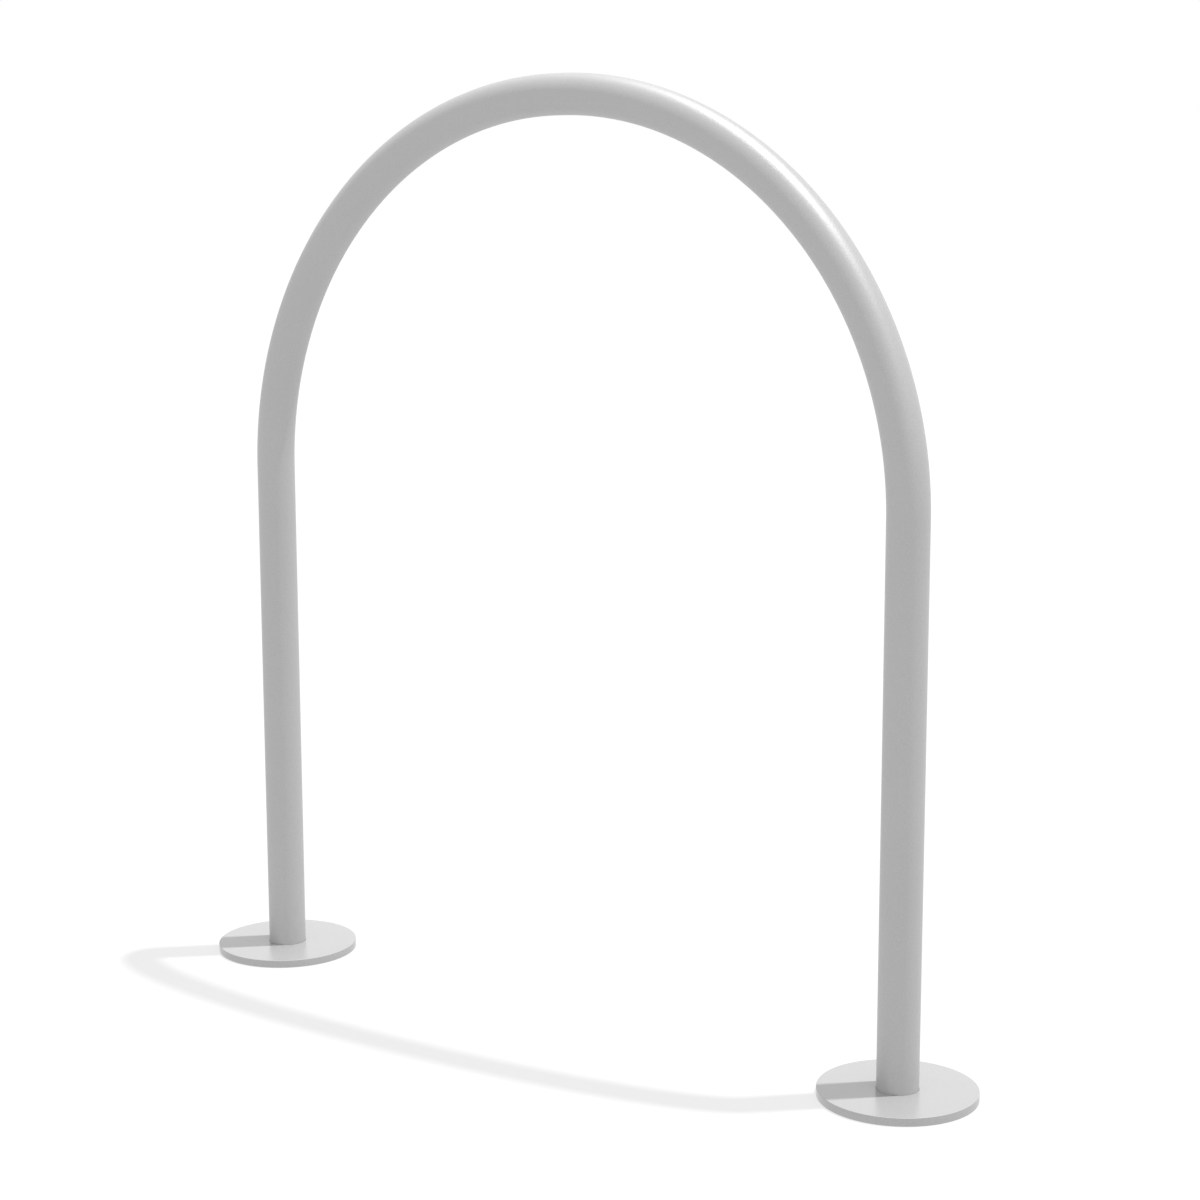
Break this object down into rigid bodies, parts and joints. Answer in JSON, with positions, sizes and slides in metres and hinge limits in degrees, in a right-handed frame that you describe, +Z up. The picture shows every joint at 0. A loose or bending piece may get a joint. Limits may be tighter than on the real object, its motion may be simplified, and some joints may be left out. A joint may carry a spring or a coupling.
{
  "type": "hoop bike rack",
  "caption": "Bent round tube forming a tall arch on straight legs, welded to round base flanges under sliding cover plates, for locking a bicycle to.",
  "frame": {"origin": "on the ground, midway between the centre lines of the two legs", "axes": "+X from the left leg to the right leg, +Y square to the plane of the hoop, +Z up the legs"},
  "size_m": [0.8826, 0.1442, 0.9],
  "materials": {
    "coated_tube": "light grey, finely textured semi-gloss powder coat",
    "coated_cover": "light grey, finely textured semi-gloss powder coat",
    "coated_flange": "light grey powder coat, thinner and duller where the cover hides it",
    "coated_weld": "ground flush and powder coated light grey with the flange"
  },
  "bodies": {
    "hoop": {"hoop_tube": "coated_tube", "left_base_flange": "coated_flange", "left_flange_weld": "coated_weld", "right_base_flange": "coated_flange", "right_flange_weld": "coated_weld"},
    "left_cover": {"left_cover_plate": "coated_cover"},
    "right_cover": {"right_cover_plate": "coated_cover"}
  },
  "joints": [
    {"name": "left_cover_lift", "type": "slide", "parent": "hoop", "child": "left_cover", "axis": [0, 0, 1], "range_m": [0, 0.507]},
    {"name": "right_cover_lift", "type": "slide", "parent": "hoop", "child": "right_cover", "axis": [0, 0, 1], "range_m": [0, 0.507]}
  ]
}
